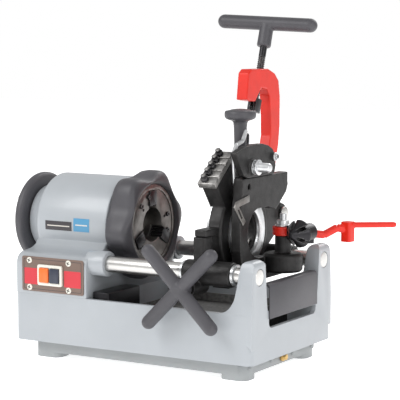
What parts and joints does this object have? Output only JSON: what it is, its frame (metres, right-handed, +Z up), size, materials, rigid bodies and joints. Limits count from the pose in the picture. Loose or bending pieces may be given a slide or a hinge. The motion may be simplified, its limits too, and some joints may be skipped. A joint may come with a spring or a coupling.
{
  "type": "pipe threading machine",
  "caption": "Bench pipe threading machine: a cast tub and headstock with two hand chucks, rails, and a geared carriage with die head, swing cutter and reamer.",
  "frame": {"origin": "on the bench, under the middle of the box round the whole machine at rest", "axes": "+X along the pipe from the headstock to the carriage end, -Y is the operator's side, +Z up"},
  "size_m": [0.754, 0.4814, 0.7033],
  "materials": {
    "grey_paint": "semi-gloss light grey paint",
    "dark_plastic": "satin moulded charcoal plastic",
    "cast_iron": "dark oiled casting",
    "steel": "ground or zinc-plated steel",
    "red_paint": "gloss red-orange paint on a casting",
    "panel": "printed switch panel",
    "white_plastic": "moulded",
    "orange_plastic": "moulded",
    "brass": "turned"
  },
  "bodies": {
    "root": {"base_casting": "grey_paint", "undertray": "grey_paint", "drain_plug": "brass", "carry_handle": "dark_plastic", "chip_tray": "steel", "oil_tank": "steel", "oil_pump_cover": "dark_plastic", "headstock_casing": "grey_paint", "front_bearing": "steel", "rear_bearing": "steel", "switch_plate": "panel", "switch_bezel": "white_plastic", "gearbox_plate": "cast_iron", "motor": "cast_iron", "front_rail": "steel", "rear_rail": "steel"},
    "off_button": {"off_button": "orange_plastic"},
    "on_button": {"on_button": "dark_plastic"},
    "spindle": {"spindle_tube": "steel", "spindle_gear": "steel", "chuck_body": "steel", "rear_chuck_body": "steel"},
    "lay_shaft": {"lay_pinion": "steel", "lay_gear": "steel"},
    "motor_shaft": {"motor_pinion": "steel"},
    "chuck_wheel": {"chuck_handwheel": "dark_plastic"},
    "rear_wheel": {"rear_handwheel": "dark_plastic"},
    "carriage": {"carriage_casting": "cast_iron", "frame_cover": "cast_iron", "frame_bolt": "steel", "oil_spout": "steel", "tool_pin": "steel", "reamer_pivot_bolt": "steel"},
    "feed": {"feed_pinion": "steel", "feed_handwheel": "dark_plastic"},
    "die_head": {"die_head_body": "cast_iron", "size_block": "steel", "head_lift_knob": "dark_plastic"},
    "size_clamp": {"size_clamp_screw": "dark_plastic"},
    "die_cam": {"die_cam": "steel"},
    "cutter": {"cutter_frame": "red_paint"},
    "cutter_slide": {"cutter_slide": "cast_iron"},
    "cutter_screw": {"cutter_screw": "steel", "cutter_handle": "dark_plastic"},
    "cutter_wheel": {"cutter_wheel": "steel"},
    "roller_1": {"cutter_roller_1": "steel"},
    "roller_2": {"cutter_roller_2": "steel"},
    "reamer": {"reamer_lever": "red_paint", "reamer_arm": "cast_iron", "reamer_cone": "steel"},
    "chuck_jaw_1": {"chuck_jaw_1": "steel"},
    "rear_jaw_1": {"rear_jaw_1": "steel"},
    "chuck_jaw_2": {"chuck_jaw_2": "steel"},
    "rear_jaw_2": {"rear_jaw_2": "steel"},
    "chuck_jaw_3": {"chuck_jaw_3": "steel"},
    "rear_jaw_3": {"rear_jaw_3": "steel"},
    "chaser_1": {"chaser_1": "steel"},
    "chaser_2": {"chaser_2": "steel"},
    "chaser_3": {"chaser_3": "steel"},
    "chaser_4": {"chaser_4": "steel"}
  },
  "joints": [
    {"name": "off_button_press", "type": "slide", "parent": "root", "child": "off_button", "axis": [0, 1, 0], "range_m": [0, 0.003]},
    {"name": "on_button_press", "type": "slide", "parent": "root", "child": "on_button", "axis": [0, 1, 0], "range_m": [0, 0.003]},
    {"name": "spindle_spin", "type": "hinge", "parent": "root", "child": "spindle", "pos_m": [-0.16398, -0.02525, 0.27], "axis": [1, 0, 0], "continuous": true},
    {"name": "lay_shaft_spin", "type": "hinge", "parent": "root", "child": "lay_shaft", "pos_m": [-0.16398, 0.00681, 0.1819], "axis": [1, 0, 0], "continuous": true},
    {"name": "motor_shaft_spin", "type": "hinge", "parent": "root", "child": "motor_shaft", "pos_m": [-0.18098, 0.02234, 0.12395], "axis": [1, 0, 0], "continuous": true},
    {"name": "chuck_wheel_turn", "type": "hinge", "parent": "spindle", "child": "chuck_wheel", "pos_m": [-0.10998, -0.02525, 0.27], "axis": [1, 0, 0], "range_deg": [0, 70]},
    {"name": "rear_wheel_turn", "type": "hinge", "parent": "spindle", "child": "rear_wheel", "pos_m": [-0.36498, -0.02525, 0.27], "axis": [1, 0, 0], "range_deg": [0, 60]},
    {"name": "chuck_jaw_1_close", "type": "slide", "parent": "spindle", "child": "chuck_jaw_1", "axis": [0, 0, -1], "range_m": [0, 0.0141]},
    {"name": "rear_jaw_1_close", "type": "slide", "parent": "spindle", "child": "rear_jaw_1", "axis": [0, 0, -1], "range_m": [0, 0.0101]},
    {"name": "chuck_jaw_2_close", "type": "slide", "parent": "spindle", "child": "chuck_jaw_2", "axis": [0, 0.866, 0.5], "range_m": [0, 0.0141]},
    {"name": "rear_jaw_2_close", "type": "slide", "parent": "spindle", "child": "rear_jaw_2", "axis": [0, 0.866, 0.5], "range_m": [0, 0.0101]},
    {"name": "chuck_jaw_3_close", "type": "slide", "parent": "spindle", "child": "chuck_jaw_3", "axis": [0, -0.866, 0.5], "range_m": [0, 0.0141]},
    {"name": "rear_jaw_3_close", "type": "slide", "parent": "spindle", "child": "rear_jaw_3", "axis": [0, -0.866, 0.5], "range_m": [0, 0.0101]},
    {"name": "carriage_slide", "type": "slide", "parent": "root", "child": "carriage", "axis": [1, 0, 0], "range_m": [-0.105, 0.01]},
    {"name": "feed_turn", "type": "hinge", "parent": "carriage", "child": "feed", "pos_m": [0.09823, -0.22625, 0.17785], "axis": [0, 1, 0], "range_deg": [-50, 505]},
    {"name": "die_head_swing", "type": "hinge", "parent": "carriage", "child": "die_head", "pos_m": [0.11252, 0.13475, 0.29], "axis": [-1, 0, 0], "range_deg": [0, 75]},
    {"name": "size_clamp_turn", "type": "hinge", "parent": "die_head", "child": "size_clamp", "pos_m": [0.10602, 0.01475, 0.42], "axis": [0, 0, 1], "range_deg": [0, 90]},
    {"name": "die_cam_turn", "type": "hinge", "parent": "die_head", "child": "die_cam", "pos_m": [0.13502, -0.02525, 0.27], "axis": [1, 0, 0], "range_deg": [0, 25]},
    {"name": "chaser_1_open", "type": "slide", "parent": "die_head", "child": "chaser_1", "axis": [0, 0.7071, 0.7071], "range_m": [0, 0.0101]},
    {"name": "chaser_2_open", "type": "slide", "parent": "die_head", "child": "chaser_2", "axis": [0, -0.7071, 0.7071], "range_m": [0, 0.0101]},
    {"name": "chaser_3_open", "type": "slide", "parent": "die_head", "child": "chaser_3", "axis": [0, -0.7071, -0.7071], "range_m": [0, 0.0101]},
    {"name": "chaser_4_open", "type": "slide", "parent": "die_head", "child": "chaser_4", "axis": [0, 0.7071, -0.7071], "range_m": [0, 0.0101]},
    {"name": "cutter_swing", "type": "hinge", "parent": "carriage", "child": "cutter", "pos_m": [0.05502, 0.13475, 0.29], "axis": [1, 0, 0], "range_deg": [0, 94.8]},
    {"name": "cutter_advance", "type": "slide", "parent": "cutter", "child": "cutter_slide", "axis": [0, -0.3111, -0.9504], "range_m": [0, 0.035]},
    {"name": "cutter_screw_turn", "type": "hinge", "parent": "cutter_slide", "child": "cutter_screw", "pos_m": [0.05502, 0.20475, 0.684], "axis": [0, -0.3111, -0.9504], "range_deg": [0, 2521]},
    {"name": "cutter_wheel_spin", "type": "hinge", "parent": "cutter_slide", "child": "cutter_wheel", "pos_m": [0.05502, 0.14626, 0.50533], "axis": [1, 0, 0], "continuous": true},
    {"name": "roller_1_spin", "type": "hinge", "parent": "cutter", "child": "roller_1", "pos_m": [0.05502, 0.09586, 0.42849], "axis": [1, 0, 0], "continuous": true},
    {"name": "roller_2_spin", "type": "hinge", "parent": "cutter", "child": "roller_2", "pos_m": [0.05502, 0.14148, 0.41356], "axis": [1, 0, 0], "continuous": true},
    {"name": "reamer_swing", "type": "hinge", "parent": "carriage", "child": "reamer", "pos_m": [0.19002, 0.02575, 0.271], "axis": [0, 0, 1], "range_deg": [-83, 0]}
  ],
  "couplings": [
    {"joint": "lay_shaft_spin", "follows": "spindle_spin", "ratio": -4},
    {"joint": "motor_shaft_spin", "follows": "spindle_spin", "ratio": 12},
    {"joint": "chuck_jaw_1_close", "follows": "chuck_wheel_turn", "m_per_rad": 0.011459},
    {"joint": "rear_jaw_1_close", "follows": "rear_wheel_turn", "m_per_rad": 0.009549},
    {"joint": "chuck_jaw_2_close", "follows": "chuck_wheel_turn", "m_per_rad": 0.011459},
    {"joint": "rear_jaw_2_close", "follows": "rear_wheel_turn", "m_per_rad": 0.009549},
    {"joint": "chuck_jaw_3_close", "follows": "chuck_wheel_turn", "m_per_rad": 0.011459},
    {"joint": "rear_jaw_3_close", "follows": "rear_wheel_turn", "m_per_rad": 0.009549},
    {"joint": "feed_turn", "follows": "carriage_slide", "rad_per_m": -83.333},
    {"joint": "chaser_1_open", "follows": "die_cam_turn", "m_per_rad": 0.022918},
    {"joint": "chaser_2_open", "follows": "die_cam_turn", "m_per_rad": 0.022918},
    {"joint": "chaser_3_open", "follows": "die_cam_turn", "m_per_rad": 0.022918},
    {"joint": "chaser_4_open", "follows": "die_cam_turn", "m_per_rad": 0.022918},
    {"joint": "cutter_screw_turn", "follows": "cutter_advance", "rad_per_m": 1256.6}
  ]
}
